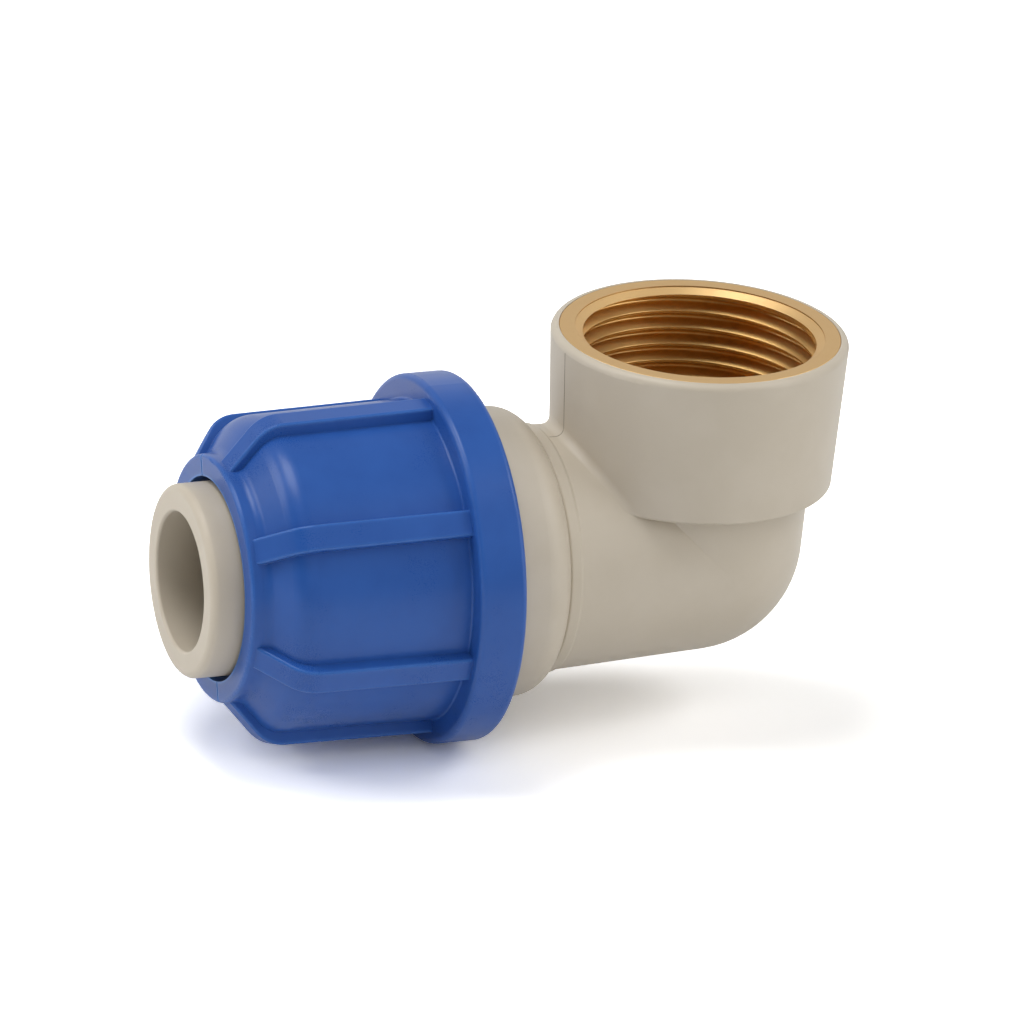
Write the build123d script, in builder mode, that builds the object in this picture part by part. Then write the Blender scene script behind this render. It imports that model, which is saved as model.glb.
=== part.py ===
from build123d import *
from math import cos, radians, sin, tan
import os

# Compression elbow: a pipe is gripped by a screwed nut on one leg, and the other leg is a moulded
# socket round a brass insert with a female pipe thread. Lengths are in millimetres.
# The origin is the centre of the threaded mouth, on its rim. +Z points out of the mouth, and the
# pipe leaves along -X.

# Brass insert, for a 1 inch parallel pipe thread
THREAD_MINOR_R = 15.145  # crests of the female thread
THREAD_LENGTH = 14.8  # plain wall that carries the turns
LEAD_IN_DEPTH = 1.2  # cone in front of the first turn
LEAD_IN_FLARE = 1.05  # how much wider the cone is at the rim
INSERT_WALL = 3.15  # brass shown at the rim, outside the crests
INSERT_RIM_DEPTH = 2.2
INSERT_STEP = 1.1  # the barrel is this much narrower than the rim
INSERT_BAND = 0.6  # height of the rings that hold the insert in the plastic
INSERT_BAND_WIDTH = 2.6
INSERT_FLOOR = 1.6  # lip under the thread
KEY_COUNT = 12  # notches across the rings, against turning
KEY_R = 0.9

# Moulded elbow body
SOCKET_WALL = 1.1  # plastic round the brass at the rim
SOCKET_DRAFT = 2.9  # degrees
SOCKET_FLOOR = 2.0  # plastic under the insert
SOCKET_EDGE = 0.9  # rounding of the rim
SOCKET_FOOT_EDGE = 0.4  # rounding of the lower edge
STEM_LENGTH = 8.75  # from the socket's underside to the pipe axis
HEEL_WALL = 4.2
LEG_DRAFT = 2.2  # degrees, of the stem and of the neck, away from the heel
NECK_LENGTH = 22.6  # from the mouth's axis to the collar
NECK_RING_WIDTH = 1.4  # low ring beside the collar
NECK_RING_HEIGHT = 0.2
JUNCTION_FILLET = 1.1  # where the socket stands on the neck
COLLAR_HEIGHT = 2.8  # above the neck
COLLAR_WIDTH = 8.7
COLLAR_SLOPE = 1.4  # length of the collar's rounded back
COLLAR_ROUND = 4.0
COLLAR_EDGE = 0.5
SPIGOT_WALL = 4.3  # outside the pipe, at the root of the nut's thread
SPIGOT_LENGTH = 20.7
SPIGOT_EDGE = 0.6

# Pipe tail and seal
PIPE_R = 12.5
PIPE_WALL = 3.5
PIPE_TAIL = 4.1  # shown outside the nut
PIPE_EDGE = 1.0
PIPE_BORE_EDGE = 0.4
PIPE_FIT = 0.2  # radial clearance in the body
PIPE_STOP = 24.0  # from the mouth's axis to the ledge that stops the pipe
STOP_LEDGE = 1.5
SEAL_SECTION = 3.0
SEAL_FIT = 0.05  # clearance on each side of the seal
GLAND_DEPTH = 8.0  # counterbore for the seal and the bush

# Thrust bush and grip ring
BUSH_FLANGE = 2.0
BUSH_FIT = 0.3  # radial clearance in the counterbore and at the flange
GRIP_LENGTH = 8.4
GRIP_GAP = 0.2  # between the bush and the ring, and round the ring's cone
GRIP_FIT = 0.15  # radial clearance on the pipe
GRIP_SLOT = 3.0  # the split
TOOTH_COUNT = 5
TOOTH_DEPTH = 0.6

# Nut
THREAD_ROOM = 1.4  # radial room for the coarse thread between spigot and nut
NUT_WALL = 2.0
NUT_DRAFT = 1.0  # degrees
NUT_LIP = 3.1  # thickness of the mouth's inward lip
MOUTH_CLEARANCE = 0.7
MOUTH_RIM = 2.8  # width of the mouth's end face
MOUTH_BAND = 2.3  # length of the band behind that face
MOUTH_EDGE = 0.5
MARK_WIDTH = 0.25  # slits that the mould leaves across the end face
MARK_DEPTH = 0.4
MARK_TURN = 20.0  # degrees, of the slits' plane about the pipe axis
SHOULDER_LENGTH = 3.4
SHOULDER_ROUND = 4.0
SHOULDER_FOOT = 1.6  # concave rounding at the foot of the shoulder
CONE_STEP = 1.2  # from the thread's bore to the wide end of the cone
CONE_DROP = 2.3
FLANGE_WIDTH = 6.3
FLANGE_HEIGHT = 3.2
FLANGE_EDGE = 0.8
FLANGE_FOOT = 0.3
SEAT_GAP = 0.3  # between the tight nut and the collar
RIB_COUNT = 7
RIB_PHASE = 34.5  # degrees, of the first rib above the horizontal on the -Y side
RIB_WIDTH = 3.4
RIB_HEIGHT = 1.6
RIB_ROUND = 4.8  # bend of the rib over the shoulder
RIB_SETBACK = 0.8  # from the mouth's end face to the rib's front
RIB_TOE = 0.15  # depth of that front below the mouth's rim, where the rib runs into the band
RIB_EDGE = 0.35

# Radii that follow from the sizes above
insert_rim_r = THREAD_MINOR_R + INSERT_WALL
insert_barrel_r = insert_rim_r - INSERT_STEP
insert_band_r = insert_barrel_r + INSERT_BAND
socket_r = insert_rim_r + SOCKET_WALL
waterway_r = PIPE_R - STOP_LEDGE
heel_r = waterway_r + HEEL_WALL
leg_start = heel_r * sin(radians(LEG_DRAFT))  # the legs' cones touch the heel's ball this far behind its centre
leg_start_r = heel_r * cos(radians(LEG_DRAFT))
stem_r = leg_start_r + (leg_start + STEM_LENGTH) * tan(radians(LEG_DRAFT))
neck_r = leg_start_r + (leg_start + NECK_LENGTH) * tan(radians(LEG_DRAFT))
collar_r = neck_r + COLLAR_HEIGHT
pipe_bore_r = PIPE_R - PIPE_WALL
pipe_socket_r = PIPE_R + PIPE_FIT
gland_r = PIPE_R + SEAL_SECTION + 2 * SEAL_FIT
spigot_r = pipe_socket_r + SPIGOT_WALL
nut_bore_r = spigot_r + THREAD_ROOM
barrel_r = nut_bore_r + NUT_WALL
cone_wide_r = nut_bore_r - CONE_STEP
cone_narrow_r = cone_wide_r - CONE_DROP
mouth_r = PIPE_R + MOUTH_CLEARANCE
mouth_rim_r = mouth_r + MOUTH_RIM
mouth_middle_r = mouth_r + MOUTH_RIM / 2
rib_top_r = barrel_r + RIB_HEIGHT

# Heights below the rim
insert_depth = LEAD_IN_DEPTH + THREAD_LENGTH + INSERT_FLOOR
socket_depth = insert_depth + SOCKET_FLOOR
pipe_z = -(socket_depth + STEM_LENGTH)
socket_toe_r = socket_r + pipe_z * tan(radians(SOCKET_DRAFT))  # of the draft run down to the pipe axis

# Places along the pipe, counted from the mouth's axis
ring_foot = NECK_LENGTH - NECK_RING_WIDTH - 2 * NECK_RING_HEIGHT
collar_face = NECK_LENGTH + COLLAR_WIDTH
spigot_end = collar_face + SPIGOT_LENGTH
gland_face = spigot_end - GLAND_DEPTH
seal_centre = gland_face + SEAL_FIT + SEAL_SECTION / 2
bush_start = seal_centre + SEAL_FIT + SEAL_SECTION / 2
bush_end = spigot_end + BUSH_FLANGE
grip_start = bush_end + GRIP_GAP
grip_end = grip_start + GRIP_LENGTH
lip_start = grip_end + GRIP_GAP
nut_back = collar_face + SEAT_GAP
nut_end = lip_start + NUT_LIP
flange_front = nut_back + FLANGE_WIDTH
shoulder_foot = nut_end - MOUTH_BAND
shoulder_top = shoulder_foot - SHOULDER_LENGTH
pipe_end = nut_end + PIPE_TAIL

STANDING = (Align.CENTER, Align.CENTER, Align.MIN)
HANGING = (Align.CENTER, Align.CENTER, Align.MAX)
mouth_axis = Axis((0, 0, 0), (0, 0, 1))
pipe_axis = Axis((0, 0, pipe_z), (-1, 0, 0))


def pipe_plane(angle=90.0):
    """Plane through the pipe axis, with x along the pipe and y outwards at an angle above the -Y side."""
    tilt = radians(angle)
    return Plane(origin=(0, 0, pipe_z), x_dir=(-1, 0, 0), z_dir=(0, sin(tilt), cos(tilt)))


def section(plane, *corners):
    """Closed face through corners, each with its two coordinates and a rounding."""
    with BuildSketch(plane) as sketch:
        with BuildLine():
            FilletPolyline(*[corner[:2] for corner in corners], radius=[c[2] for c in corners], close=True)
        make_face()
    return sketch.sketch.face()


def band(start, end, inner_r, outer_r):
    """Plain ring section on the pipe axis."""
    return section(
        pipe_plane(), (start, inner_r, 0), (end, inner_r, 0), (end, outer_r, 0), (start, outer_r, 0)
    )


# Brass insert: first its solid outline, which also moulds the pocket in the elbow body
upper_band = -(INSERT_RIM_DEPTH + insert_depth) / 2
with BuildPart() as insert_blank:
    with Locations((0, 0, -insert_depth)):
        Cylinder(insert_barrel_r, insert_depth, align=STANDING)
    with Locations((0, 0, -insert_depth), (0, 0, upper_band - INSERT_BAND_WIDTH / 2)):
        Cylinder(insert_band_r, INSERT_BAND_WIDTH, align=STANDING)
    with BuildSketch(Plane.XY.offset(-insert_depth)):
        with PolarLocations(insert_band_r, KEY_COUNT):
            Circle(KEY_R)
        Circle(insert_barrel_r, mode=Mode.SUBTRACT)
    extrude(amount=insert_depth - INSERT_RIM_DEPTH, mode=Mode.SUBTRACT)
    Cylinder(insert_rim_r, INSERT_RIM_DEPTH, align=HANGING)

with BuildPart() as thread_insert:
    add(insert_blank.part)
    bore = section(
        Plane.XZ,
        (0, 0, 0),
        (THREAD_MINOR_R + LEAD_IN_FLARE, 0, 0),
        (THREAD_MINOR_R, -LEAD_IN_DEPTH, 0),
        (THREAD_MINOR_R, -LEAD_IN_DEPTH - THREAD_LENGTH, 0),
        (waterway_r, -LEAD_IN_DEPTH - THREAD_LENGTH, 0),
        (waterway_r, -insert_depth, 0),
        (0, -insert_depth, 0),
    )
    revolve(bore, axis=mouth_axis, mode=Mode.SUBTRACT)

# Elbow body. The drafted socket is first run down to the pipe axis, so that the fillet where it
# stands on the neck is whole, and is then cut off flat at its underside.
with BuildPart() as elbow_body:
    neck = section(
        pipe_plane(),
        (-leg_start, 0, 0),
        (collar_face, 0, 0),
        (collar_face, neck_r, 0),
        (NECK_LENGTH, neck_r, 0),
        (-leg_start, leg_start_r, 0),
    )
    revolve(neck, axis=pipe_axis)
    socket_outline = section(
        Plane.XZ, (0, 0, 0), (socket_r, 0, SOCKET_EDGE), (socket_toe_r, pipe_z, 0), (0, pipe_z, 0)
    )
    revolve(socket_outline, axis=mouth_axis)
    fillet(elbow_body.edges().filter_by(GeomType.BSPLINE), JUNCTION_FILLET)
    split(bisect_by=Plane.XY.offset(-socket_depth), keep=Keep.TOP)
    lower_edge = elbow_body.faces().sort_by(Axis.Z)[0].edges().filter_by(GeomType.CIRCLE)
    fillet(lower_edge, SOCKET_FOOT_EDGE)
    legs = section(
        pipe_plane(),
        (-leg_start, 0, 0),
        (spigot_end, 0, 0),
        (spigot_end, spigot_r, SPIGOT_EDGE),
        (collar_face, spigot_r, 0),
        (collar_face, collar_r, COLLAR_EDGE),
        (NECK_LENGTH + COLLAR_SLOPE, collar_r, COLLAR_ROUND),
        (NECK_LENGTH, neck_r, 0),
        (NECK_LENGTH - NECK_RING_HEIGHT, neck_r + NECK_RING_HEIGHT, NECK_RING_HEIGHT),
        (NECK_LENGTH - NECK_RING_WIDTH, neck_r + NECK_RING_HEIGHT, NECK_RING_HEIGHT),
        (ring_foot, leg_start_r + (leg_start + ring_foot) * tan(radians(LEG_DRAFT)), 0),
        (-leg_start, leg_start_r, 0),
    )
    revolve(legs, axis=pipe_axis)
    with Locations((0, 0, pipe_z - leg_start)):
        Cone(leg_start_r, stem_r, leg_start + STEM_LENGTH, align=STANDING)
    with Locations((0, 0, pipe_z)):
        Sphere(heel_r)
        Sphere(waterway_r, mode=Mode.SUBTRACT)
        Cylinder(waterway_r, -pipe_z, align=STANDING, mode=Mode.SUBTRACT)
    passage = section(
        pipe_plane(),
        (0, 0, 0),
        (spigot_end, 0, 0),
        (spigot_end, gland_r, 0),
        (gland_face, gland_r, 0),
        (gland_face, pipe_socket_r, 0),
        (PIPE_STOP, pipe_socket_r, 0),
        (PIPE_STOP, waterway_r, 0),
        (0, waterway_r, 0),
    )
    revolve(passage, axis=pipe_axis, mode=Mode.SUBTRACT)
    add(insert_blank.part, mode=Mode.SUBTRACT)

with BuildPart() as pipe_stub:
    wall = section(
        pipe_plane(),
        (PIPE_STOP, pipe_bore_r, 0),
        (pipe_end, pipe_bore_r, PIPE_BORE_EDGE),
        (pipe_end, PIPE_R, PIPE_EDGE),
        (PIPE_STOP, PIPE_R, 0),
    )
    revolve(wall, axis=pipe_axis)

with BuildPart() as seal_ring:
    with BuildSketch(pipe_plane()):
        with Locations((seal_centre, (PIPE_R + gland_r) / 2)):
            Circle(SEAL_SECTION / 2)
    revolve(axis=pipe_axis)

with BuildPart() as thrust_bush:
    revolve(band(bush_start, bush_end, pipe_socket_r, gland_r - BUSH_FIT), axis=pipe_axis)
    revolve(band(spigot_end, bush_end, pipe_socket_r, spigot_r - BUSH_FIT), axis=pipe_axis)

# Grip ring: a split cone that the nut squeezes on to the pipe, with saw teeth inside
grip_bore_r = PIPE_R + GRIP_FIT
tooth_pitch = GRIP_LENGTH / TOOTH_COUNT
with BuildPart() as grip_ring:
    cone = section(
        pipe_plane(),
        (grip_start, grip_bore_r, 0),
        (grip_end, grip_bore_r, 0),
        (grip_end, cone_narrow_r - GRIP_GAP, 0),
        (grip_start, cone_wide_r - GRIP_GAP, 0),
    )
    revolve(cone, axis=pipe_axis)
    for tooth in range(TOOTH_COUNT):
        heel = grip_start + tooth * tooth_pitch
        gash = section(
            pipe_plane(),
            (heel, 0, 0),
            (heel, grip_bore_r + TOOTH_DEPTH, 0),
            (heel + tooth_pitch, grip_bore_r, 0),
            (heel + tooth_pitch, 0, 0),
        )
        revolve(gash, axis=pipe_axis, mode=Mode.SUBTRACT)
    with Locations((-(grip_start + grip_end) / 2, 0, pipe_z)):
        Box(GRIP_LENGTH, GRIP_SLOT, cone_wide_r, align=STANDING, mode=Mode.SUBTRACT)

# Nut: a turned shell with a flange, and ribs that bend over its shoulder
flange_barrel_r = barrel_r + (shoulder_top - flange_front) * tan(radians(NUT_DRAFT))
rib_foot_r = barrel_r - NUT_WALL / 2
rib_front = nut_end - RIB_SETBACK
rib_toe_r = mouth_rim_r - RIB_TOE
rib_knee = rib_front - (rib_top_r - rib_toe_r) * SHOULDER_LENGTH / (barrel_r - mouth_rim_r)
with BuildPart() as rib:
    blade = section(
        pipe_plane(RIB_PHASE),
        (flange_front - FLANGE_FOOT, rib_foot_r, 0),
        (flange_front - FLANGE_FOOT, flange_barrel_r + RIB_HEIGHT, 0),
        (rib_knee, rib_top_r, RIB_ROUND),
        (rib_front, rib_toe_r, 0),
        (rib_front, mouth_middle_r, 0),
        (lip_start, (cone_narrow_r + mouth_rim_r) / 2, 0),
        (shoulder_top, rib_foot_r, 0),
    )
    extrude(blade, amount=RIB_WIDTH / 2, both=True)
    fillet(rib.edges().filter_by(GeomType.CIRCLE), RIB_EDGE)

with BuildPart() as compression_nut:
    shell = section(
        pipe_plane(),
        (nut_back, nut_bore_r, 0),
        (grip_start, nut_bore_r, 0),
        (grip_start, cone_wide_r, 0),
        (lip_start, cone_narrow_r, 0),
        (lip_start, mouth_r, 0),
        (nut_end, mouth_r, 0),
        (nut_end, mouth_rim_r, MOUTH_EDGE),
        (shoulder_foot, mouth_rim_r, SHOULDER_FOOT),
        (shoulder_top, barrel_r, SHOULDER_ROUND),
        (flange_front, flange_barrel_r, FLANGE_FOOT),
        (flange_front, flange_barrel_r + FLANGE_HEIGHT, FLANGE_EDGE),
        (nut_back, flange_barrel_r + FLANGE_HEIGHT, FLANGE_EDGE),
    )
    revolve(shell, axis=pipe_axis)
    for index in range(RIB_COUNT):
        add(rib.part.rotate(pipe_axis, index * 360 / RIB_COUNT))
    with Locations((-nut_end, 0, pipe_z)):
        Box(2 * MARK_DEPTH, MARK_WIDTH, 2 * barrel_r, rotation=(-MARK_TURN, 0, 0), mode=Mode.SUBTRACT)

os.makedirs("parts", exist_ok=True)

thread_insert.part.label = "thread_insert"
export_step(thread_insert.part, "parts/thread_insert.step")
elbow_body.part.label = "elbow_body"
export_step(elbow_body.part, "parts/elbow_body.step")
pipe_stub.part.label = "pipe_stub"
export_step(pipe_stub.part, "parts/pipe_stub.step")
seal_ring.part.label = "seal_ring"
export_step(seal_ring.part, "parts/seal_ring.step")
thrust_bush.part.label = "thrust_bush"
export_step(thrust_bush.part, "parts/thrust_bush.step")
grip_ring.part.label = "grip_ring"
export_step(grip_ring.part, "parts/grip_ring.step")
compression_nut.part.label = "compression_nut"
export_step(compression_nut.part, "parts/compression_nut.step")
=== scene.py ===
"""Looks of a compression elbow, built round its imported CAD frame.

The solids of the body, the nut, the pipe end and the inner rings stay as they are and get their
finishes here. The brass insert is remade with its real pipe thread, and the coarse screw threads
and the bead of the mould's joint are added. Lengths in the pieces' classes are millimetres in the
part's frame: the origin is the centre of the threaded mouth, +Z points out of it, and the pipe
leaves along -X.
"""

from __future__ import annotations

import logging
import math
from dataclasses import dataclass
from enum import Enum
from typing import Any, Union

import bmesh
import bpy
import numpy as np
from mathutils import Matrix, Vector

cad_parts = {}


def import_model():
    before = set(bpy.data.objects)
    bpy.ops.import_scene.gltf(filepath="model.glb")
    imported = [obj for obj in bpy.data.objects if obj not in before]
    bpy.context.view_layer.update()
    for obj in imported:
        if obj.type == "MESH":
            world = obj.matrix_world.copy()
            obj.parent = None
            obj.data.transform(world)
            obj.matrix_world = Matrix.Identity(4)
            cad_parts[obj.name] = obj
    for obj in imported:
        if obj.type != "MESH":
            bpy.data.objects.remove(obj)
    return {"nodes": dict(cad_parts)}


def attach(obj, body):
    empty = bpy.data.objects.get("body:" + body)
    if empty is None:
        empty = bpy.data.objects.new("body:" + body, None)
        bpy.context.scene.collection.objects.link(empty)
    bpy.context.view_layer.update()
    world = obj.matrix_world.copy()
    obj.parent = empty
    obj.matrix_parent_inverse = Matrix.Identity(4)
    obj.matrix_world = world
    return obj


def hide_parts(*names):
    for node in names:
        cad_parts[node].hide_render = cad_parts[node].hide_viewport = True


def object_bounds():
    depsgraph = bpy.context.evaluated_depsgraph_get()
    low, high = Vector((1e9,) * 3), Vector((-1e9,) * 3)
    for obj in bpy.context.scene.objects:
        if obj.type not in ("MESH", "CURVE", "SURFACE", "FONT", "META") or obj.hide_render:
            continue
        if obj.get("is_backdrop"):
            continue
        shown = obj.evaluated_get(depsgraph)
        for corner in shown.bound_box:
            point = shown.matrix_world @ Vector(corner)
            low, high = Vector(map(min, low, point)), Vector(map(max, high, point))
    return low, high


LOG = logging.getLogger("compression_elbow")
MM = 0.001
WELD = 2e-6
FLAT_SHARP = 30.0
PIPE_AXIS_Z = -28.35
Colour = tuple[float, float, float]
Span = tuple[float, float]
Input = Union["Value", float, tuple]


class Body(Enum):
    """Bodies that the added pieces ride on."""

    ELBOW = "elbow"
    NUT = "nut"


class Slot(Enum):
    """Material slots of the part's record."""

    BODY = "body_plastic"
    NUT = "nut_plastic"
    BRASS = "brass"
    GRIP = "grip_plastic"
    RUBBER = "rubber"


class Value:
    """A shader socket on which Python's operators add Math nodes."""

    def __init__(self, graph: "Graph", socket: bpy.types.NodeSocket) -> None:
        """Keep the graph and the socket that carries the value."""
        self.graph = graph
        self.socket = socket

    def math(self, operation: str, *others: Input) -> "Value":
        """Add one Math node.

        Args:
            operation: Blender's name of the operation.
            others: the further operands, numbers or values.

        Returns:
            The node's result.
        """
        operands = {index: operand for index, operand in enumerate((self, *others))}
        return self.graph.node("ShaderNodeMath", {"operation": operation}, operands)

    def __add__(self, other: Input) -> "Value":
        """Sum."""
        return self.math("ADD", other)

    __radd__ = __add__

    def __mul__(self, other: Input) -> "Value":
        """Product."""
        return self.math("MULTIPLY", other)

    __rmul__ = __mul__

    def __sub__(self, other: Input) -> "Value":
        """Difference."""
        return self.math("SUBTRACT", other)

    def __rsub__(self, other: float) -> "Value":
        """Difference from a plain number."""
        return self.graph.node("ShaderNodeMath", {"operation": "SUBTRACT"}, {0: other, 1: self})

    def __pow__(self, other: Input) -> "Value":
        """Power."""
        return self.math("POWER", other)

    def ease(self, low: float, high: float) -> "Value":
        """Map low..high to 0..1 with a smooth start and end; low may be the larger one."""
        return self.graph.node(
            "ShaderNodeMapRange",
            {"interpolation_type": "SMOOTHSTEP"},
            {"Value": self, "From Min": low, "From Max": high},
        )


@dataclass(frozen=True)
class Mottle:
    """Noise: its cycles per millimetre, its octaves and the strength of the finer ones."""

    scale: float
    detail: float = 2.0
    rough: float = 0.5


class Graph:
    """Node tree of one material or of the world."""

    BEVEL_SAMPLES = 6
    OCCLUSION_SAMPLES = 8
    EDGE_SPAN = (1.0, 0.55)

    def __init__(self, tree: bpy.types.NodeTree) -> None:
        """Empty the tree and start on it."""
        self.tree = tree
        tree.nodes.clear()

    def node(
        self, kind: str, settings: dict[str, Any], inputs: dict, out: Union[int, str] = 0
    ) -> Value:
        """Add a node.

        Args:
            kind: Blender's type of node.
            settings: attributes of the node, which are set first.
            inputs: numbers, tuples or values for the sockets, by name or number.
            out: name or number of the output that is wanted.

        Returns:
            That output.
        """
        made = self.tree.nodes.new(kind)
        for name, setting in settings.items():
            setattr(made, name, setting)
        for key, given in inputs.items():
            if isinstance(given, Value):
                self.tree.links.new(given.socket, made.inputs[key])
            else:
                made.inputs[key].default_value = given
        return Value(self, made.outputs[out])

    def place(self) -> Value:
        """Object coordinates in millimetres."""
        metres = self.node("ShaderNodeTexCoord", {}, {}, "Object")
        return self.vector("SCALE", metres, {"Scale": 1 / MM})

    def vector(self, operation: str, first: Input, others: dict) -> Value:
        """Add a Vector Math node with its first operand and its other sockets."""
        return self.node("ShaderNodeVectorMath", {"operation": operation}, {0: first, **others})

    def axes(self, vector: Value) -> tuple[Value, Value, Value]:
        """Split a vector into its three parts."""
        parts = self.node("ShaderNodeSeparateXYZ", {}, {0: vector})
        outputs = parts.socket.node.outputs
        return Value(self, outputs[0]), Value(self, outputs[1]), Value(self, outputs[2])

    def noise(self, vector: Value, mottle: Mottle) -> Value:
        """Noise from 0 to 1."""
        inputs = {"Scale": mottle.scale, "Detail": mottle.detail, "Roughness": mottle.rough}
        return self.node("ShaderNodeTexNoise", {}, {"Vector": vector, **inputs}, "Fac")

    def blend(self, factor: Input, first: Input, second: Input) -> Value:
        """Mix two colours."""
        return self.node(
            "ShaderNodeMix",
            {"data_type": "RGBA", "blend_type": "MIX"},
            {0: factor, 6: _rgba(first), 7: _rgba(second)},
            2,
        )

    def bump(self, height: Value, depth: float, under: Value | None = None) -> Value:
        """Bump of a height from 0 to 1, its depth in millimetres, over another normal if given."""
        inputs: dict = {"Height": height, "Distance": depth * MM, "Strength": 1.0}
        if under is not None:
            inputs["Normal"] = under
        return self.node("ShaderNodeBump", {}, inputs)

    def soft_edges(self, radius: float) -> Value:
        """Normal that rounds the solids' edges by a radius in millimetres."""
        settings = {"samples": self.BEVEL_SAMPLES}
        return self.node("ShaderNodeBevel", settings, {"Radius": radius * MM})

    def convex_edges(self, reach: float) -> Value:
        """1 on convex edges, 0 past a reach in millimetres, from an inward occlusion test."""
        clear = self.node(
            "ShaderNodeAmbientOcclusion",
            {"inside": True, "only_local": True, "samples": self.OCCLUSION_SAMPLES},
            {"Distance": reach * MM},
            "AO",
        )
        return clear.ease(*self.EDGE_SPAN)

    def light_path(self) -> tuple[Value, Value]:
        """Whether a ray comes from the camera, and whether from a mirror or through glass."""
        camera = self.node("ShaderNodeLightPath", {}, {}, "Is Camera Ray")
        outputs = camera.socket.node.outputs
        mirrored = Value(self, outputs["Is Glossy Ray"])
        through = Value(self, outputs["Is Transmission Ray"])
        return camera, mirrored.math("MAXIMUM", through)

    def surface(self, inputs: dict) -> None:
        """Close the tree with a Principled shader."""
        self.close(self.node("ShaderNodeBsdfPrincipled", {}, inputs))

    def close(self, shader: Value) -> None:
        """Link a shader to the tree's output."""
        output = self.tree.nodes.new("ShaderNodeOutputMaterial")
        self.tree.links.new(shader.socket, output.inputs["Surface"])


def _rgba(colour: Input) -> Input:
    """Give a plain colour its alpha."""
    return (*colour, 1.0) if isinstance(colour, tuple) else colour


def new_graph(name: str) -> tuple[bpy.types.Material, Graph]:
    """Make an empty node material and its graph."""
    material = bpy.data.materials.new(name)
    material.use_nodes = True
    return material, Graph(material.node_tree)


@dataclass(frozen=True)
class MouldedPlastic:
    """Satin moulded plastic: fine grain, slow waves from the cooling and slightly cloudy colour.

    Attributes:
        name: name of the material.
        colour: its mean colour, linear.
        shade: the colour of its darker clouds.
        roughness: mean roughness.
        edge: radius that softens the solids' sharp edges.
        grain: depth of the fine grain.
        wave: depth of the slow waves.
        streak: depth of the turned tool's marks round the pipe axis.
        gloss: index of refraction, which sets the strength of the gloss.
        painted_edge_highlight: colour of a highlight painted on the convex edges.
        painted_highlight_reach: how far that painted highlight goes in from an edge.
        bore_r: radius of a bore along the pipe axis, inside which shade is painted.
        painted_bore_shade: colour of the shade painted in that bore.
        bore_shade_depth: where along X the painted shade starts, and where it is full.
        bore_shade_margin: how far past that radius the painted shade fades out, and where it is
            full.
    """

    CLOUD = Mottle(0.11, 3.0, 0.55)
    CLOUD_SPAN = (0.36, 0.66)
    CLOUD_ROUGHNESS = 0.16
    FLECK = Mottle(2.6, 2.0, 0.6)
    FLECK_SPAN = (0.42, 0.62)
    FLECK_SHARE = 0.07
    GRAIN = Mottle(7.0, 3.0, 0.6)
    GRAIN_ROUGHNESS = 0.1
    WAVE = Mottle(0.34, 1.0)
    TOOL_MARKS = Mottle(1.0, 2.0, 0.6)
    TOOL_SCALE = (5.0, 0.05, 0.05)

    name: str
    colour: Colour
    shade: Colour
    roughness: float
    edge: float = 0.15
    grain: float = 0.004
    wave: float = 0.01
    streak: float = 0.0
    gloss: float = 1.46
    painted_edge_highlight: Colour | None = None
    painted_highlight_reach: float = 0.45
    bore_r: float = 0.0
    painted_bore_shade: Colour = (0.0, 0.0, 0.0)
    bore_shade_depth: Span = (-69.5, -60.0)
    bore_shade_margin: Span = (0.8, 0.2)

    def material(self) -> bpy.types.Material:
        """Build the material."""
        material, graph = new_graph(self.name)
        place = graph.place()
        cloud = graph.noise(place, self.CLOUD)
        fleck = graph.noise(place, self.FLECK)
        colour = graph.blend(cloud.ease(*self.CLOUD_SPAN), self.shade, self.colour)
        dusk = graph.blend(self.FLECK_SHARE, colour, self.shade)
        colour = graph.blend(fleck.ease(*self.FLECK_SPAN), dusk, colour)
        # Painted highlight: the convex edges are lightened towards a paler colour, standing for the
        # light they catch.
        if self.painted_edge_highlight:
            colour = graph.blend(graph.convex_edges(self.painted_highlight_reach), colour, self.painted_edge_highlight)
        # Painted shade: the pipe end's bore is darkened, more so deeper in from its mouth, to stand
        # for the shade inside it.
        if self.bore_r:
            x, y, z = graph.axes(place)
            radius = (y * y + (z - PIPE_AXIS_Z) * (z - PIPE_AXIS_Z)) ** 0.5
            inside = radius.ease(*(self.bore_r + margin for margin in self.bore_shade_margin))
            colour = graph.blend(inside * x.ease(*self.bore_shade_depth), colour, self.painted_bore_shade)
        grain = graph.noise(place, self.GRAIN)
        wave = graph.noise(place, self.WAVE)
        normal = graph.bump(wave, self.wave, graph.soft_edges(self.edge))
        if self.streak:
            normal = graph.bump(self._turned(graph, place), self.streak, normal)
        normal = graph.bump(grain, self.grain, normal)
        roughness = self.roughness + (cloud - 0.5) * self.CLOUD_ROUGHNESS
        roughness = roughness + (grain - 0.5) * self.GRAIN_ROUGHNESS
        graph.surface(
            {"Base Color": colour, "Roughness": roughness, "Normal": normal, "IOR": self.gloss}
        )
        return material

    def _turned(self, graph: Graph, place: Value) -> Value:
        """Fine lines round the pipe axis: noise that changes fast along X and slowly round it."""
        along = graph.vector("MULTIPLY", place, {1: self.TOOL_SCALE})
        return graph.noise(along, self.TOOL_MARKS)


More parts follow.
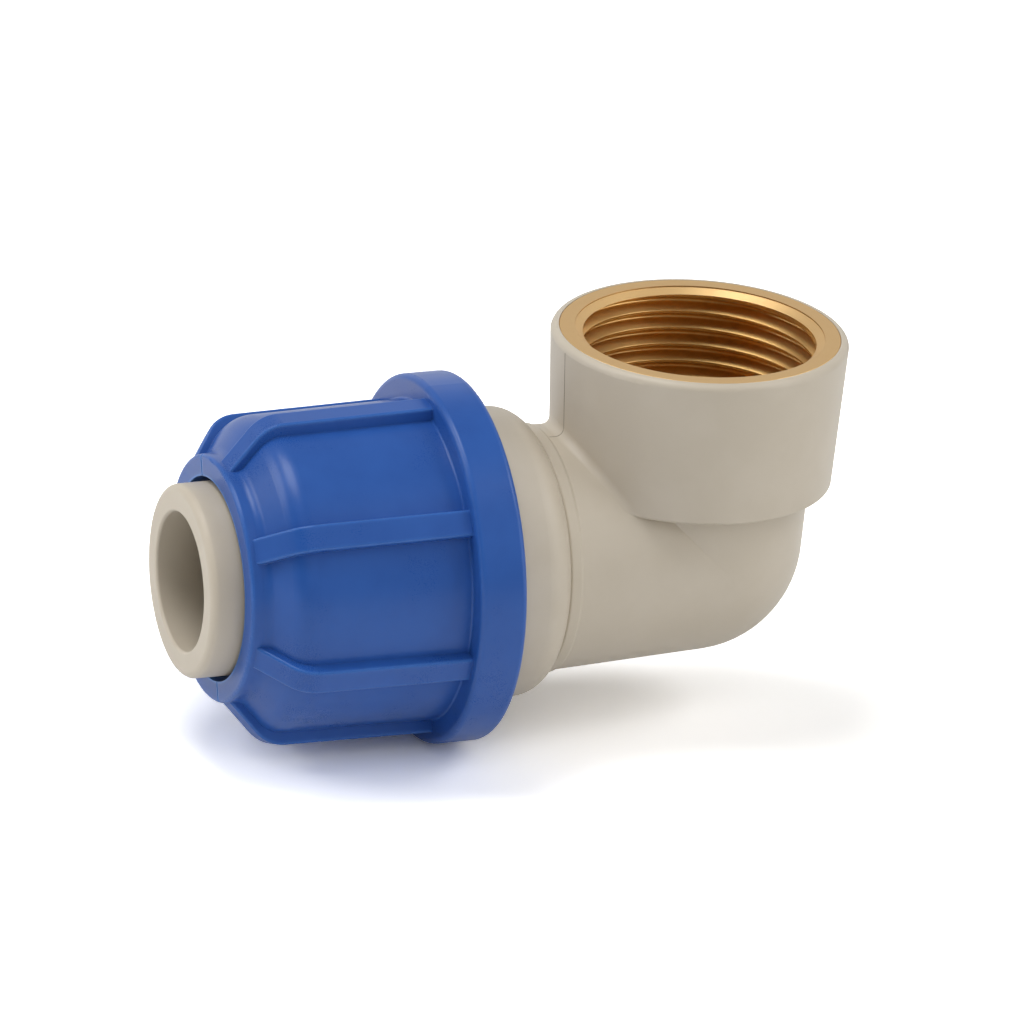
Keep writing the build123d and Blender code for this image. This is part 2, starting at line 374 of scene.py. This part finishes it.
@dataclass(frozen=True)
class TurnedBrass:
    """Turned brass: fine tool lines, duller on the rim and its lead-in than on the thread.

    Attributes:
        name: name of the material.
        colour: reflected colour, linear.
        tarnish: its colour where it is duller.
        faced: colour of the faced rim and the lead-in.
        roughness: roughness of the thread.
        rim_roughness: roughness of the faced rim and the lead-in.
    """

    RIM_SPAN = (-0.95, -0.8)
    RIM_SHARE = 0.9
    CLOUD = Mottle(0.5, 4.0, 0.6)
    CLOUD_SPAN = (0.45, 0.75)
    CLOUD_SHARE = 0.5
    CLOUD_ROUGHNESS = 0.1
    LINES = Mottle(1.0, 3.0, 0.7)
    LINES_PER_MM = 6.0
    LINES_DEPTH = 0.009
    LINES_ON_THREAD = 0.3
    GRIT = Mottle(9.0)
    GRIT_DEPTH = 0.002
    EDGE = 0.05

    name: str
    colour: Colour
    tarnish: Colour
    faced: Colour
    roughness: float
    rim_roughness: float

    def material(self) -> bpy.types.Material:
        """Build the material."""
        material, graph = new_graph(self.name)
        place = graph.place()
        x, y, z = graph.axes(place)
        radius = (x * x + y * y) ** 0.5
        rim = z.ease(*self.RIM_SPAN)
        cloud = graph.noise(place, self.CLOUD)
        tarnished = cloud.ease(*self.CLOUD_SPAN) * self.CLOUD_SHARE
        worn = graph.blend(tarnished, self.colour, self.tarnish)
        colour = graph.blend(rim * self.RIM_SHARE, worn, self.faced)
        rings = {0: radius * self.LINES_PER_MM, 1: z * self.LINES_PER_MM, 2: 0.0}
        lines = graph.noise(graph.node("ShaderNodeCombineXYZ", {}, rings), self.LINES)
        grit = graph.noise(place, self.GRIT)
        cut = lines * (self.LINES_ON_THREAD + (1.0 - self.LINES_ON_THREAD) * rim)
        normal = graph.bump(cut, self.LINES_DEPTH, graph.soft_edges(self.EDGE))
        normal = graph.bump(grit * rim, self.GRIT_DEPTH, normal)
        rough = self.roughness + (self.rim_roughness - self.roughness) * rim
        graph.surface(
            {
                "Base Color": colour,
                "Metallic": 1.0,
                "Roughness": rough + (cloud - 0.5) * self.CLOUD_ROUGHNESS,
                "Normal": normal,
            }
        )
        return material


@dataclass(frozen=True)
class SealRubber:
    """Black seal rubber with a dusty bloom.

    Attributes:
        name: name of the material.
        colour: its colour, linear.
        bloom: colour of the dust on it.
        roughness: its mean roughness.
    """

    DUST = Mottle(0.8, 5.0, 0.65)
    DUST_SPAN = (0.5, 0.8)
    DUST_SHARE = 0.5
    DUST_ROUGHNESS = 0.2
    GRAIN = Mottle(5.0, 3.0, 0.6)
    GRAIN_DEPTH = 0.01

    name: str
    colour: Colour
    bloom: Colour
    roughness: float = 0.62

    def material(self) -> bpy.types.Material:
        """Build the material."""
        material, graph = new_graph(self.name)
        place = graph.place()
        dust = graph.noise(place, self.DUST)
        dusted = dust.ease(*self.DUST_SPAN) * self.DUST_SHARE
        colour = graph.blend(dusted, self.colour, self.bloom)
        grain = graph.noise(place, self.GRAIN)
        graph.surface(
            {
                "Base Color": colour,
                "Roughness": self.roughness + (dust - 0.5) * self.DUST_ROUGHNESS,
                "Normal": graph.bump(grain, self.GRAIN_DEPTH),
            }
        )
        return material


BODY_PLASTIC = MouldedPlastic(
    "moulded_beige", (0.556, 0.494, 0.4), (0.534, 0.472, 0.377), 0.42, edge=0.1
)
# The pipe end's plastic, with shade painted into its bore.
PIPE_PLASTIC = MouldedPlastic(
    "extruded_beige",
    BODY_PLASTIC.colour,
    BODY_PLASTIC.shade,
    BODY_PLASTIC.roughness,
    edge=BODY_PLASTIC.edge,
    bore_r=9.0,
    painted_bore_shade=(0.36, 0.315, 0.25),
)
# Darker plastic for the bead at the mould's joint: painted shade that stands for the dark line
# along it.
PARTING_SHADE = MouldedPlastic(
    "parting_line_shade", (0.27, 0.235, 0.18), (0.24, 0.205, 0.155), 0.5, edge=0.05
)
NUT_PLASTIC = MouldedPlastic(
    "moulded_blue",
    (0.024, 0.096, 0.366),
    (0.022, 0.087, 0.339),
    0.3,
    edge=0.12,
    grain=0.002,
    wave=0.004,
    streak=0.003,
    gloss=1.38,
    # paler blue that paints a highlight on the convex edges
    painted_edge_highlight=(0.06, 0.21, 0.6),
)
GRIP_PLASTIC = MouldedPlastic("acetal_white", (0.75, 0.75, 0.72), (0.7, 0.7, 0.66), 0.35)
BRASS = TurnedBrass(
    "turned_brass", (0.84, 0.545, 0.21), (0.72, 0.45, 0.165), (0.71, 0.48, 0.225), 0.36, 0.5
)
RUBBER = SealRubber("seal_rubber", (0.018, 0.018, 0.019), (0.05, 0.05, 0.048))


def mesh_object(
    name: str, points: np.ndarray, faces: list, sharp: float, weld: bool = False
) -> bpy.types.Object:
    """Make a smooth-shaded object.

    Args:
        name: name of the piece.
        points: places in millimetres, one row each.
        faces: corners of each face.
        sharp: angle in degrees above which an edge stays sharp.
        weld: whether points that coincide are merged, and the faces that lose their area dropped.

    Returns:
        The object, at the origin.
    """
    mesh = bpy.data.meshes.new(name)
    mesh.from_pydata((points * MM).tolist(), [], faces)
    if weld:
        edit = bmesh.new()
        edit.from_mesh(mesh)
        bmesh.ops.remove_doubles(edit, verts=edit.verts, dist=WELD)
        bmesh.ops.dissolve_degenerate(edit, dist=WELD, edges=edit.edges)
        edit.to_mesh(mesh)
        edit.free()
    mesh.polygons.foreach_set("use_smooth", np.ones(len(mesh.polygons), bool))
    mesh.set_sharp_from_angle(angle=math.radians(sharp))
    mesh.validate()
    made = bpy.data.objects.new(name, mesh)
    bpy.context.scene.collection.objects.link(made)
    return made


def grid_faces(rows: int, columns: int, close_rows: bool, close_columns: bool) -> list:
    """Quads of a grid of points.

    Args:
        rows: points in the first direction.
        columns: points in the second direction.
        close_rows: whether the last row joins the first.
        close_columns: whether the last column joins the first.

    Returns:
        Four indices for each quad, row i and i + 1 against column j and j + 1.
    """
    i, j = np.meshgrid(
        np.arange(rows if close_rows else rows - 1),
        np.arange(columns if close_columns else columns - 1),
        indexing="ij",
    )
    down, right = (i + 1) % rows, (j + 1) % columns
    here, below = i * columns, down * columns
    quads = np.stack((here + j, below + j, below + right, here + right), -1)
    return quads.reshape(-1, 4).tolist()


def capped_faces(rows: int, columns: int) -> list:
    """Quads of a closed section carried along a path, with a face on each end."""
    ring = list(range(columns))
    last = [(rows - 1) * columns + corner for corner in ring]
    return grid_faces(rows, columns, False, True) + [ring, last[::-1]]


def outwards(faces: list) -> list:
    """Turn round faces whose grid runs the other way about the solid."""
    return [face[::-1] for face in faces]


def smoothstep(x: np.ndarray) -> np.ndarray:
    """Cubic ease 3x^2 - 2x^3 of x held to 0..1."""
    held = np.clip(x, 0.0, 1.0)
    return held * held * (3.0 - 2.0 * held)


def dress(piece: bpy.types.Object, material: bpy.types.Material) -> None:
    """Give a piece one material."""
    piece.data.materials.clear()
    piece.data.materials.append(material)


def settle(piece: bpy.types.Object, body: Body) -> None:
    """Let a piece ride on its body."""
    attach(piece, body.value)
    LOG.info("%s rides on %s with %d faces", piece.name, body.value, len(piece.data.polygons))


@dataclass
class ThreadedInsert:
    """Brass insert with its female parallel pipe thread, which stands for the plain solid."""

    minor_r: float = 15.145
    thread_depth: float = 1.6
    pitch: float = 2.309
    thread_start: float = 0.9
    root_r: float = 0.317
    crest_edge: float = 0.06
    flank_angle: float = 27.5
    lead_in: float = 0.85
    lead_in_step: float = 0.2
    lead_in_r: float = 16.195
    thread_floor: float = -16.0
    floor: float = -17.6
    floor_r: float = 11.0
    rim_r: float = 18.295
    rim_depth: float = 2.2
    rim_chamfer: float = 0.14
    barrel_r: float = 17.195
    band_r: float = 17.795
    band_width: float = 2.6
    key_count: int = 12
    key_r: float = 0.9
    key_land: float = 0.02
    run_out: float = 1.6
    run_in: float = 0.6
    spare_turns: int = 3
    crest_points: int = 6
    root_points: int = 9
    around: int = 240
    sharp: float = 38.0

    def build(self) -> bpy.types.Object:
        """Make the insert: the thread's helical wall, and the section outside it carried round."""
        angle = np.linspace(0.0, 2 * np.pi, self.around, endpoint=False)
        wall_r, wall_z, wall_faces = self._thread(angle)
        shell_r, shell_z = self._outside(angle)
        r = np.concatenate((wall_r, shell_r))
        z = np.concatenate((wall_z, shell_z))
        points = np.stack((r * np.cos(angle), r * np.sin(angle), z), -1).reshape(-1, 3)
        shell_faces = np.array(grid_faces(len(shell_r), self.around, False, True)) + wall_r.size
        faces = outwards(wall_faces + shell_faces.tolist())
        piece = mesh_object("threaded_insert", points, faces, self.sharp, weld=True)
        dress(piece, BRASS.material())
        settle(piece, Body.ELBOW)
        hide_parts("thread_insert")
        return piece

    def _profile(self) -> tuple[np.ndarray, np.ndarray]:
        """One pitch of the thread, from the middle of a crest downwards.

        A circular root has a straight flank tangent to it on each side, and a small arc rounds the
        corner between each flank and the narrow flat of the crest.

        Returns:
            Distances down from the crest's middle, and heights from 0 at the crest to the depth at
            the root.
        """
        tilt = math.radians(self.flank_angle)
        touch = self.root_r * math.cos(tilt)
        foot = self.thread_depth - self.root_r * (1.0 - math.sin(tilt))
        corner = self.pitch / 2 - touch - foot * math.tan(tilt)
        turn = math.pi / 2 - tilt
        bend = np.linspace(0.0, turn, self.crest_points)
        edge_down = corner - self.crest_edge * math.tan(turn / 2) + self.crest_edge * np.sin(bend)
        edge_up = self.crest_edge * (1.0 - np.cos(bend))
        swing = np.linspace(-turn, turn, self.root_points)
        root_down = self.pitch / 2 + self.root_r * np.sin(swing)
        root_up = self.thread_depth - self.root_r * (1.0 - np.cos(swing))
        down = np.concatenate(([0.0], edge_down, root_down, self.pitch - edge_down[::-1]))
        up = np.concatenate(([0.0], edge_up, root_up, edge_up[::-1]))
        return down, up

    def _thread(self, angle: np.ndarray) -> tuple[np.ndarray, np.ndarray, list]:
        """Inner wall, on a grid whose rows follow the helix.

        Each row is one point of the profile and rises by a pitch in a turn, so a row's end meets
        the start of the row one profile higher. Heights are held between the floor and the foot of
        the lead-in cone, where rows run together, and the turns fade out at both.

        Args:
            angle: angles round the axis.

        Returns:
            Radii and heights, one row for each point of the profile in each turn, and the faces.
        """
        down, up = self._profile()
        turns = math.ceil(-self.thread_floor / self.pitch) + self.spare_turns
        start = (np.arange(turns)[:, None] - 1) * self.pitch
        rows_down = (start + down).reshape(-1, 1)
        rows_up = np.tile(up, turns)[:, None]
        climb = self.thread_start + self.pitch * angle / (2 * np.pi)
        z = np.clip(climb - rows_down, self.thread_floor, -self.lead_in)
        foot_fade = smoothstep((z - self.thread_floor) / self.run_out)
        head_fade = smoothstep((-z - self.lead_in) / self.run_in)
        r = self.minor_r + rows_up * (foot_fade * head_fade)
        rows, columns, lap = len(rows_down), self.around, len(down)
        faces = grid_faces(rows, columns, False, False)
        k = np.arange(lap, rows - 1)
        last = k * columns + columns - 1
        first = (k - lap) * columns
        seam = np.stack((last, last + columns, first + columns, first), -1)
        return r, z, faces + seam.tolist()

    def _outside(self, angle: np.ndarray) -> tuple[np.ndarray, np.ndarray]:
        """Floor lip, keyed bands, barrel, rim and lead-in, from the thread's foot to its head.

        Each band is notched where a circle of the key's radius, set on the band at every twelfth of
        a turn, cuts into it: the radius falls by half the chord of that circle at the point's
        distance from its centre.

        Args:
            angle: angles round the axis.

        Returns:
            Radii and heights, one row for each corner of the section.
        """
        upper = -(self.rim_depth - self.floor) / 2
        half = self.band_width / 2
        low_top = self.floor + self.band_width
        corners = [
            (self.minor_r, self.thread_floor, 0),
            (self.floor_r, self.thread_floor, 0),
            (self.floor_r, self.floor, 0),
            (self.barrel_r, self.floor, 0),
            (self.band_r, self.floor, 1),
            (self.band_r, low_top, 1),
            (self.barrel_r, low_top, 0),
            (self.barrel_r, upper - half, 0),
            (self.band_r, upper - half, 1),
            (self.band_r, upper + half, 1),
            (self.barrel_r, upper + half, 0),
            (self.barrel_r, -self.rim_depth, 0),
            (self.rim_r, -self.rim_depth, 0),
            (self.rim_r, -self.rim_chamfer, 0),
            (self.rim_r - self.rim_chamfer, 0.0, 0),
            (self.lead_in_r, 0.0, 0),
            (self.lead_in_r, -self.lead_in_step, 0),
            (self.minor_r, -self.lead_in, 0),
        ]
        r, z, keyed = (np.array(column, float)[:, None] for column in zip(*corners))
        step = 2 * np.pi / self.key_count
        off = (np.abs((angle + step / 2) % step - step / 2)) * self.band_r
        chord = np.sqrt(np.clip(self.key_r**2 - off**2, 0.0, None))
        notch = np.minimum(chord, self.band_r - self.barrel_r - self.key_land)
        return r - keyed * notch, z + 0.0 * angle


@dataclass
class ScrewThread:
    """One coarse helical ridge round the pipe axis, on the body's spigot or in the nut.

    Attributes:
        name: name of the piece.
        wall_r: radius of the wall that carries the ridge.
        crest_r: radius of its crest.
        start: where the ridge starts, along the pipe.
        end: where it ends.
        phase: place of the ridge at angle 0, in turns.
        lead: advance in one turn.
        foot: width of the ridge at the wall.
        top: width at the crest.
        sunk: how far its foot is set into the wall.
        corner: how far its crest's corners are set in.
        swell: how far its flanks stand out under the crest.
        shoulder: height at which they do, as a share of the whole.
        fade_turns: turns over which the ridge rises at each end.
        least_rise: share of its height that is left at its ends.
        steps_per_turn: steps along the helix.
        sharp: angle above which its edges stay sharp.
    """

    name: str
    wall_r: float
    crest_r: float
    start: float
    end: float
    phase: float
    lead: float = 4.0
    foot: float = 2.0
    top: float = 0.9
    sunk: float = 0.12
    corner: float = 0.16
    swell: float = 0.12
    shoulder: float = 0.86
    fade_turns: float = 0.5
    least_rise: float = 0.02
    steps_per_turn: int = 96
    sharp: float = 60.0

    def build(self, body: Body, slot: Slot, material: bpy.types.Material) -> bpy.types.Object:
        """Make the ridge: a section of six corners carried along the helix.

        The helix advances by the lead in a turn, right-handed about -X. The section's height is
        eased to next to nothing over the first and last half turn, where the ridge runs into the
        wall.

        Args:
            body: body that it rides on.
            slot: not used.
            material: its finish.

        Returns:
            The piece.
        """
        turns = (self.end - self.start) / self.lead
        turn = np.linspace(0.0, turns, int(turns * self.steps_per_turn) + 1)[:, None]
        rise = smoothstep(turn / self.fade_turns) * smoothstep((turns - turn) / self.fade_turns)
        across, height = self._section()
        s = self.start + turn * self.lead + across
        foot_r = self.wall_r + math.copysign(self.sunk, self.wall_r - self.crest_r)
        r = foot_r + (self.crest_r - foot_r) * height * np.maximum(rise, self.least_rise)
        angle = 2 * np.pi * (turn + self.phase + self.start / self.lead) + 0.0 * across
        points = np.stack((-s, r * np.sin(angle), PIPE_AXIS_Z + r * np.cos(angle)), -1)
        rows, columns = s.shape
        faces = capped_faces(rows, columns)
        if self.crest_r < self.wall_r:
            faces = outwards(faces)
        piece = mesh_object(self.name, points.reshape(-1, 3), faces, self.sharp)
        dress(piece, material)
        settle(piece, body)
        return piece

    def _section(self) -> tuple[np.ndarray, np.ndarray]:
        """Distances across the ridge and heights from 0 at its foot to 1 at its crest."""
        half = np.array([self.foot / 2, self.top / 2 + self.swell, self.top / 2 - self.corner])
        height = np.array([0.0, self.shoulder, 1.0])
        return np.concatenate((-half, half[::-1])), np.concatenate((height, height[::-1]))


SPIGOT_THREAD = ScrewThread(
    "spigot_thread", wall_r=17.0, crest_r=18.0, start=33.2, end=51.2, phase=0.0
)
NUT_THREAD = ScrewThread("nut_thread", wall_r=18.4, crest_r=17.4, start=33.4, end=53.4, phase=0.5)


@dataclass
class PartingBead:
    """Fine bead that the mould's joint leaves on the body, close to the plane of its two axes."""

    socket_r: float = 19.395
    draft: float = 2.9
    rim_edge: float = 0.9
    heel_r: float = 15.2
    leg_draft: float = 2.2
    neck_end: float = 20.7
    fillet: float = 1.1
    aside: float = -1.3
    width: float = 0.24
    height: float = 0.05
    sunk: float = 0.05
    wall_points: int = 12
    arc_points: int = 17
    neck_points: int = 8
    sharp: float = 80.0

    def build(self, material: bpy.types.Material) -> bpy.types.Object:
        """Make the bead: a triangle carried down the socket, round the fillet and along the neck.

        The path is worked out in the plane of the axes. The bead stands aside from it, and is
        lowered by the height that a round of the neck's radius falls over that distance.

        Args:
            material: the bead's finish, darker than the body as painted shade along the joint.

        Returns:
            The piece.
        """
        path = self._path()
        along = np.gradient(path, axis=0)
        along /= np.linalg.norm(along, axis=1)[:, None]
        out = np.stack((along[:, 1], -along[:, 0]), -1)
        side = self.aside + np.array([-self.width / 2, 0.0, self.width / 2])
        lift = np.array([-self.sunk, self.height, -self.sunk]) - self.aside**2 / (2 * self.heel_r)
        plane = path[:, None] + out[:, None] * lift[:, None]
        sides = np.broadcast_to(side, plane.shape[:2])
        points = np.stack((plane[..., 0], sides, plane[..., 1]), -1)
        rows, columns = points.shape[:2]
        faces = capped_faces(rows, columns)
        piece = mesh_object("parting_bead", points.reshape(-1, 3), outwards(faces), self.sharp)
        dress(piece, material)
        settle(piece, Body.ELBOW)
        return piece

    def _path(self) -> np.ndarray:
        """Points x, z: the drafted wall, the neck's top line and the fillet's arc between them."""
        slope = math.tan(math.radians(self.draft))
        taper = math.tan(math.radians(self.leg_draft))
        wall_dir = np.array([slope, -1.0]) / math.hypot(slope, 1.0)
        neck_dir = np.array([-1.0, taper]) / math.hypot(1.0, taper)
        neck_z = PIPE_AXIS_Z + self.heel_r / math.cos(math.radians(self.leg_draft))
        corner_x = -(self.socket_r + neck_z * slope) / (1.0 - taper * slope)
        corner = np.array([corner_x, neck_z - taper * corner_x])
        turn = math.acos(float(np.clip(-wall_dir @ neck_dir, -1.0, 1.0)))
        reach = self.fillet / math.tan(turn / 2)
        bisector = -wall_dir + neck_dir
        centre = corner + bisector / np.linalg.norm(bisector) * self.fillet / math.sin(turn / 2)
        wall_end, neck_start = corner - wall_dir * reach, corner + neck_dir * reach
        first, last = (math.atan2(*(p - centre)[::-1]) for p in (wall_end, neck_start))
        sweep = (last - first + math.pi) % (2 * math.pi) - math.pi
        angles = first + sweep * np.linspace(0.0, 1.0, self.arc_points)
        arc = centre + self.fillet * np.stack((np.cos(angles), np.sin(angles)), -1)
        top = np.array([-(self.socket_r - self.rim_edge * slope), -self.rim_edge])
        end = corner + neck_dir * (self.neck_end + corner_x)
        fall = np.linspace(0.0, 1.0, self.wall_points, endpoint=False)[:, None]
        run = np.linspace(0.0, 1.0, self.neck_points)[1:, None]
        wall = top + (wall_end - top) * fall
        neck = neck_start + (end - neck_start) * run
        return np.concatenate((wall, arc, neck))


@dataclass(frozen=True)
class SoftBox:
    """A square lamp: place and size in metres, power, and whether glossy surfaces mirror it."""

    name: str
    place: tuple[float, float, float]
    size: float
    power: float
    mirrored: bool = True


SOFT_BOXES = (
    SoftBox("left_back_box", (-0.75, 0.28, 0.58), 0.45, 2.6),
    SoftBox("left_top_box", (-0.26, 0.12, 0.95), 0.45, 4.0),
    SoftBox("right_top_box", (0.62, -0.3, 0.72), 0.4, 2.0),
    SoftBox("right_front_box", (0.72, -0.6, 0.26), 0.6, 1.5),
    SoftBox("left_box", (-0.97, 0.1, 0.28), 0.6, 1.5, mirrored=False),
    SoftBox("right_box", (0.95, 0.1, 0.3), 0.6, 0.9, mirrored=False),
    SoftBox("front_fill", (-0.1, -0.75, 0.6), 0.8, 2.8, mirrored=False),
    SoftBox("back_fill", (-0.75, 0.62, 0.25), 0.6, 1.1, mirrored=False),
)


@dataclass
class Studio:
    """White sweep, soft boxes and the camera at the photograph's viewing angle.

    Attributes:
        azimuth: the camera's angle round the part, in degrees.
        elevation: its angle above the floor.
        roll: its turn about the line of sight.
        distance: its distance from the aim, in millimetres.
        focal: its focal length in pixels of the picture.
        picture: width of the picture in pixels.
        shift: how far the aim lies from the picture's middle, in pixels.
        sensor: width of the sensor in millimetres.
        clip: the nearest and the farthest that it sees, in metres.
        aim_z: height of the aim, in millimetres.
        lamp_aim: point that the lamps are aimed at, in metres.
        floor_half: half the floor's width in metres.
        paper: the floor's white where it lights.
        sweep: its white where the camera sees it.
        sweep_mirrored: share of that white in a mirror.
        room: strength of the room's own light.
        room_middle: strength of the mirrored room in front and above.
        room_back: what the white behind the part adds to that.
        room_right: strength of the mirrored room at the right.
        right_span: where along X the right side starts and is full.
        left_span: the same for the dark left side.
        back_span: where along Y the white behind starts and is full.
        top_span: where along Z it ends and is full.
    """

    azimuth: float = -22.94
    elevation: float = 22.43
    roll: float = -3.79
    distance: float = 1100.0
    focal: float = 8431.16
    picture: float = 1024.0
    shift: Span = (173.27, 18.6)
    sensor: float = 36.0
    clip: Span = (0.05, 20.0)
    aim_z: float = -28.0
    lamp_aim: tuple[float, float, float] = (-0.025, 0.0, -0.025)
    floor_half: float = 3.0
    paper: float = 0.9
    sweep: float = 1.7
    sweep_mirrored: float = 0.2
    room: float = 0.1
    room_middle: float = 0.27
    room_back: float = 0.67
    room_right: float = 0.8
    right_span: Span = (0.3, 0.75)
    left_span: Span = (-0.3, -0.75)
    back_span: Span = (-0.1, 0.5)
    top_span: Span = (0.8, 0.3)

    def build(self, lowest: float) -> None:
        """Make the floor at a height in metres, the world, the lights and the camera."""
        self._floor(lowest)
        self._world()
        self._lights()
        self._camera()

    def _floor(self, height: float) -> None:
        """White floor: it takes the shadow, and is seen in a stronger white than it lights with."""
        corners = np.array([(-1, -1, 0), (1, -1, 0), (1, 1, 0), (-1, 1, 0)])
        points = corners * self.floor_half / MM + (0.0, 0.0, height / MM)
        floor = mesh_object("floor", points, [[0, 1, 2, 3]], FLAT_SHARP)
        material, graph = new_graph("white_floor")
        camera, polished = graph.light_path()
        seen = camera.math("MAXIMUM", polished * self.sweep_mirrored)
        paper, sweep = (
            graph.node("ShaderNodeBsdfDiffuse", {}, {"Color": _rgba((white,) * 3)})
            for white in (self.paper, self.sweep)
        )
        graph.close(graph.node("ShaderNodeMixShader", {}, {0: seen, 1: paper, 2: sweep}))
        dress(floor, material)
        floor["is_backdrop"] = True

    def _world(self) -> None:
        """White room: white where the camera sees it, and softer where it lights.

        A mirrored ray finds white behind the part and at its right, the dimmer room in front of it
        and above, and the dark at its left, where only the lamps show.
        """
        world = bpy.data.worlds.new("white_room")
        bpy.context.scene.world = world
        world.use_nodes = True
        graph = Graph(world.node_tree)
        camera, polished = graph.light_path()
        x, y, z = graph.axes(graph.node("ShaderNodeTexCoord", {}, {}, "Generated"))
        right = x.ease(*self.right_span)
        left = x.ease(*self.left_span)
        back = y.ease(*self.back_span) * z.ease(*self.top_span)
        middle = self.room_middle + self.room_back * back
        mirrored_light = right * self.room_right + (1.0 - right) * (1.0 - left) * middle
        lighting = self.room + (mirrored_light - self.room) * polished
        strength = lighting + (1.0 - lighting) * camera
        white = {"Color": _rgba((1.0, 1.0, 1.0)), "Strength": strength}
        room = graph.node("ShaderNodeBackground", {}, white)
        output = graph.tree.nodes.new("ShaderNodeOutputWorld")
        graph.tree.links.new(room.socket, output.inputs["Surface"])

    def _lights(self) -> None:
        """Soft boxes, each aimed at the middle of the part."""
        target = Vector(self.lamp_aim)
        for soft_box in SOFT_BOXES:
            light = bpy.data.lights.new(soft_box.name, "AREA")
            light.size = soft_box.size
            light.energy = soft_box.power
            box = bpy.data.objects.new(soft_box.name, light)
            box.location = soft_box.place
            box.rotation_mode = "QUATERNION"
            box.rotation_quaternion = (target - Vector(soft_box.place)).to_track_quat("-Z", "Y")
            box.visible_glossy = soft_box.mirrored
            bpy.context.scene.collection.objects.link(box)

    def _camera(self) -> None:
        """Camera on the fitted line of sight, rolled and moved aside as the photograph's was."""
        a, e, r = (math.radians(angle) for angle in (self.azimuth, self.elevation, self.roll))
        back = Vector((math.sin(a) * math.cos(e), -math.cos(a) * math.cos(e), math.sin(e)))
        right = Vector((-back).cross(Vector((0, 0, 1)))).normalized()
        down = (-back).cross(right)
        across = right * math.cos(r) + down * math.sin(r)
        fall = down * math.cos(r) - right * math.sin(r)
        aside = across * self.shift[0] + fall * self.shift[1]
        aim = Vector((0, 0, self.aim_z)) - aside * (self.distance / self.focal)
        data = bpy.data.cameras.new("camera")
        data.sensor_width = self.sensor
        data.lens = self.focal / self.picture * self.sensor
        data.clip_start, data.clip_end = self.clip
        camera = bpy.data.objects.new("camera", data)
        turned = Matrix((across, -fall, back)).transposed().to_4x4()
        camera.matrix_world = Matrix.Translation((aim + back * self.distance) * MM) @ turned
        bpy.context.scene.collection.objects.link(camera)
        bpy.context.scene.camera = camera


def dress_solids(nodes: dict[str, bpy.types.Object]) -> dict[Slot, bpy.types.Material]:
    """Give the CAD solids their finishes.

    Args:
        nodes: the solids by name.

    Returns:
        The materials by slot.
    """
    materials = {
        Slot.BODY: BODY_PLASTIC.material(),
        Slot.NUT: NUT_PLASTIC.material(),
        Slot.GRIP: GRIP_PLASTIC.material(),
        Slot.RUBBER: RUBBER.material(),
    }
    finishes = {
        "elbow_body": Slot.BODY,
        "pipe_stub": Slot.BODY,
        "compression_nut": Slot.NUT,
        "grip_ring": Slot.GRIP,
        "thrust_bush": Slot.GRIP,
        "seal_ring": Slot.RUBBER,
    }
    for name, slot in finishes.items():
        dress(nodes[name], PIPE_PLASTIC.material() if name == "pipe_stub" else materials[slot])
        LOG.info("%s is finished as %s", name, slot.value)
    return materials


def main() -> None:
    """Load the frame, build every piece round it and set up the studio."""
    logging.basicConfig(level=logging.INFO, format="%(name)s: %(message)s")
    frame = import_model()
    cad_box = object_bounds()
    bpy.context.scene.view_settings.view_transform = "Standard"
    Studio().build(cad_box[0].z)
    materials = dress_solids(frame["nodes"])
    ThreadedInsert().build()
    SPIGOT_THREAD.build(Body.ELBOW, Slot.BODY, materials[Slot.BODY])
    NUT_THREAD.build(Body.NUT, Slot.NUT, materials[Slot.NUT])
    PartingBead().build(PARTING_SHADE.material())


if __name__ == "__main__":
    main()
